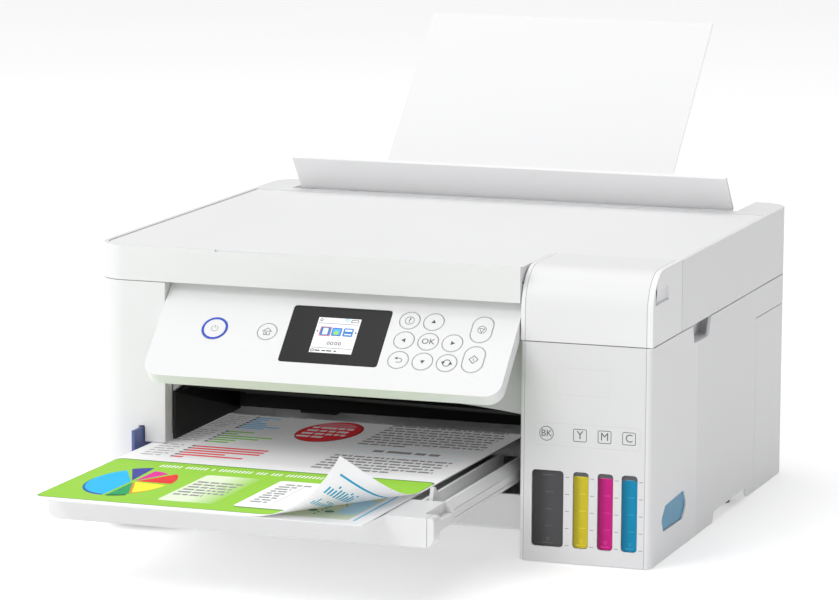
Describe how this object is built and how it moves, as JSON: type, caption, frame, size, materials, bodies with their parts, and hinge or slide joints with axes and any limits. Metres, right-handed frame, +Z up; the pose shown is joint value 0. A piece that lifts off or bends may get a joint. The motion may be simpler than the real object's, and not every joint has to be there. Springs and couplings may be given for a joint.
{
  "type": "inkjet printer",
  "caption": "Desktop ink-tank printer with flatbed scanner, tilting control panel, rear paper feeder, telescoping output tray and side ink bay.",
  "frame": {"origin": "under the middle of the whole part as stored, loaded sheet and printed page included, at table height", "axes": "+X to the printer's own left-to-right as seen from the front, +Y to the rear, +Z up; the front with the panel faces -Y"},
  "size_m": [0.375, 0.6284, 0.3014],
  "materials": {
    "white_shell": "fine matt texture",
    "white_smooth": "satin, smooth",
    "pale_grey": "fine matt texture",
    "dark_plastic": "matt black",
    "mid_grey": "matt grey",
    "display": "dark window",
    "ink_black": "ink behind clear plastic",
    "ink_yellow": "ink behind clear plastic",
    "ink_magenta": "ink behind clear plastic",
    "ink_cyan": "ink behind clear plastic",
    "paper": null,
    "card_blue": "satin",
    "flatbed_glass": "clear",
    "steel": "turned",
    "rubber": "matt"
  },
  "bodies": {
    "printer_body": {"base_tray": "pale_grey", "left_cover": "white_shell", "right_cover": "white_shell", "rear_case": "white_shell", "power_inlet": "dark_plastic", "usb_socket": "steel", "foot_rear_left": "rubber", "foot_rear_right": "rubber", "foot_front_left": "rubber", "foot_front_right": "rubber", "front_beam": "pale_grey", "inner_frame": "dark_plastic", "tank_fascia": "pale_grey", "tank_black": "ink_black", "tank_yellow": "ink_yellow", "tank_magenta": "ink_magenta", "tank_cyan": "ink_cyan", "tank_deck": "mid_grey", "guide_rail": "steel", "timing_belt": "rubber", "carriage_motor": "steel", "platen": "dark_plastic", "loaded_paper": "paper", "paper_support": "pale_grey"},
    "rear_duplexer": {"rear_cover": "white_shell"},
    "ink_cover": {"tank_cover": "white_shell"},
    "scanner_unit": {"scanner_tray": "white_shell", "scan_glass": "flatbed_glass"},
    "scan_carriage": {"scan_bar": "dark_plastic"},
    "scanner_lid": {"lid_cover": "white_shell", "lid_pad": "white_smooth"},
    "feeder_guard": {"feeder_flap": "white_shell"},
    "support_top": {"support_extension": "pale_grey"},
    "guide_right": {"edge_guide_right": "pale_grey"},
    "guide_left": {"edge_guide_left": "pale_grey"},
    "feed_shaft": {"feed_roller": "rubber"},
    "eject_shaft": {"eject_roller": "rubber"},
    "print_carriage": {"carriage": "dark_plastic"},
    "panel": {"panel_shell": "white_shell", "display_window": "display"},
    "tray_rear_stage": {"tray_slide": "white_shell"},
    "tray_front_stage": {"tray_front": "white_shell"},
    "page": {"printed_page": "paper"},
    "card": {"memory_card": "card_blue"},
    "stopper_black": {"cap_black": "ink_black"},
    "stopper_yellow": {"cap_yellow": "ink_yellow"},
    "stopper_magenta": {"cap_magenta": "ink_magenta"},
    "stopper_cyan": {"cap_cyan": "ink_cyan"},
    "power_button_key": {"power_button": "white_smooth"},
    "home_button_key": {"home_button": "white_smooth"},
    "help_button_key": {"help_button": "white_smooth"},
    "up_button_key": {"up_button": "white_smooth"},
    "left_button_key": {"left_button": "white_smooth"},
    "ok_button_key": {"ok_button": "white_smooth"},
    "right_button_key": {"right_button": "white_smooth"},
    "back_button_key": {"back_button": "white_smooth"},
    "down_button_key": {"down_button": "white_smooth"},
    "repeat_button_key": {"repeat_button": "white_smooth"},
    "stop_button_key": {"stop_button": "white_smooth"},
    "start_button_key": {"start_button": "white_smooth"}
  },
  "joints": [
    {"name": "panel_tilt", "type": "hinge", "parent": "printer_body", "child": "panel", "pos_m": [0, -0.11142, 0.1498], "axis": [1, 0, 0], "range_deg": [0, 46]},
    {"name": "power_button_press", "type": "slide", "parent": "panel", "child": "power_button_key", "axis": [0, 0.6947, -0.7193], "range_m": [0, 0.0008], "stiffness_N_per_m": 400},
    {"name": "home_button_press", "type": "slide", "parent": "panel", "child": "home_button_key", "axis": [0, 0.6947, -0.7193], "range_m": [0, 0.0008], "stiffness_N_per_m": 400},
    {"name": "help_button_press", "type": "slide", "parent": "panel", "child": "help_button_key", "axis": [0, 0.6947, -0.7193], "range_m": [0, 0.0008], "stiffness_N_per_m": 400},
    {"name": "up_button_press", "type": "slide", "parent": "panel", "child": "up_button_key", "axis": [0, 0.6947, -0.7193], "range_m": [0, 0.0008], "stiffness_N_per_m": 400},
    {"name": "left_button_press", "type": "slide", "parent": "panel", "child": "left_button_key", "axis": [0, 0.6947, -0.7193], "range_m": [0, 0.0008], "stiffness_N_per_m": 400},
    {"name": "ok_button_press", "type": "slide", "parent": "panel", "child": "ok_button_key", "axis": [0, 0.6947, -0.7193], "range_m": [0, 0.0008], "stiffness_N_per_m": 400},
    {"name": "right_button_press", "type": "slide", "parent": "panel", "child": "right_button_key", "axis": [0, 0.6947, -0.7193], "range_m": [0, 0.0008], "stiffness_N_per_m": 400},
    {"name": "back_button_press", "type": "slide", "parent": "panel", "child": "back_button_key", "axis": [0, 0.6947, -0.7193], "range_m": [0, 0.0008], "stiffness_N_per_m": 400},
    {"name": "down_button_press", "type": "slide", "parent": "panel", "child": "down_button_key", "axis": [0, 0.6947, -0.7193], "range_m": [0, 0.0008], "stiffness_N_per_m": 400},
    {"name": "repeat_button_press", "type": "slide", "parent": "panel", "child": "repeat_button_key", "axis": [0, 0.6947, -0.7193], "range_m": [0, 0.0008], "stiffness_N_per_m": 400},
    {"name": "stop_button_press", "type": "slide", "parent": "panel", "child": "stop_button_key", "axis": [0, 0.6947, -0.7193], "range_m": [0, 0.0008], "stiffness_N_per_m": 400},
    {"name": "start_button_press", "type": "slide", "parent": "panel", "child": "start_button_key", "axis": [0, 0.6947, -0.7193], "range_m": [0, 0.0008], "stiffness_N_per_m": 400},
    {"name": "cap_black_open", "type": "hinge", "parent": "printer_body", "child": "stopper_black", "pos_m": [0.11995, -0.06942, 0.1386], "axis": [-1, 0, 0], "range_deg": [0, 88]},
    {"name": "cap_yellow_open", "type": "hinge", "parent": "printer_body", "child": "stopper_yellow", "pos_m": [0.14165, -0.06942, 0.1386], "axis": [-1, 0, 0], "range_deg": [0, 88]},
    {"name": "cap_magenta_open", "type": "hinge", "parent": "printer_body", "child": "stopper_magenta", "pos_m": [0.15765, -0.06942, 0.1386], "axis": [-1, 0, 0], "range_deg": [0, 88]},
    {"name": "cap_cyan_open", "type": "hinge", "parent": "printer_body", "child": "stopper_cyan", "pos_m": [0.1755, -0.06942, 0.1386], "axis": [-1, 0, 0], "range_deg": [0, 88]},
    {"name": "ink_cover_open", "type": "hinge", "parent": "printer_body", "child": "ink_cover", "pos_m": [0.144, -0.05432, 0.187], "axis": [-1, 0, 0], "range_deg": [0, 90]},
    {"name": "scanner_unit_open", "type": "hinge", "parent": "printer_body", "child": "scanner_unit", "pos_m": [0, 0.22609, 0.1411], "axis": [-1, 0, 0], "range_deg": [0, 30]},
    {"name": "scan_travel", "type": "slide", "parent": "scanner_unit", "child": "scan_carriage", "axis": [1, 0, 0], "range_m": [0, 0.28]},
    {"name": "lid_open", "type": "hinge", "parent": "scanner_unit", "child": "scanner_lid", "pos_m": [0, 0.16478, 0.187], "axis": [-1, 0, 0], "range_deg": [0, 65]},
    {"name": "feeder_guard_fold", "type": "hinge", "parent": "scanner_unit", "child": "feeder_guard", "pos_m": [0, 0.17919, 0.1884], "axis": [1, 0, 0], "range_deg": [-80, 0]},
    {"name": "support_pull", "type": "slide", "parent": "printer_body", "child": "support_top", "axis": [0, 0.7218, 0.6921], "range_m": [-0.045, 0]},
    {"name": "guide_right_slide", "type": "slide", "parent": "printer_body", "child": "guide_right", "axis": [1, 0, 0], "range_m": [0, 0.012]},
    {"name": "guide_left_slide", "type": "slide", "parent": "printer_body", "child": "guide_left", "axis": [-1, 0, 0], "range_m": [0, 0.012]},
    {"name": "feed_spin", "type": "hinge", "parent": "printer_body", "child": "feed_shaft", "pos_m": [0, 0.14655, 0.09247], "axis": [1, 0, 0], "continuous": true},
    {"name": "eject_spin", "type": "hinge", "parent": "printer_body", "child": "eject_shaft", "pos_m": [0, -0.00142, 0.078], "axis": [1, 0, 0], "continuous": true},
    {"name": "carriage_travel", "type": "slide", "parent": "printer_body", "child": "print_carriage", "axis": [-1, 0, 0], "range_m": [0, 0.2]},
    {"name": "duplexer_pull", "type": "slide", "parent": "printer_body", "child": "rear_duplexer", "axis": [0, 1, 0], "range_m": [0, 0.06]},
    {"name": "tray_stow", "type": "slide", "parent": "printer_body", "child": "tray_rear_stage", "axis": [0, 1, 0], "range_m": [0, 0.1]},
    {"name": "tray_fold", "type": "slide", "parent": "tray_rear_stage", "child": "tray_front_stage", "axis": [0, 1, 0], "range_m": [0, 0.0565]},
    {"name": "page_take", "type": "slide", "parent": "tray_front_stage", "child": "page", "axis": [0, -1, 0], "range_m": [0, 0.12]},
    {"name": "card_pull", "type": "slide", "parent": "printer_body", "child": "card", "axis": [0, -1, 0], "range_m": [0, 0.02]}
  ],
  "couplings": [
    {"joint": "guide_left_slide", "follows": "guide_right_slide", "ratio": 1},
    {"joint": "eject_spin", "follows": "feed_spin", "ratio": 1.5}
  ]
}
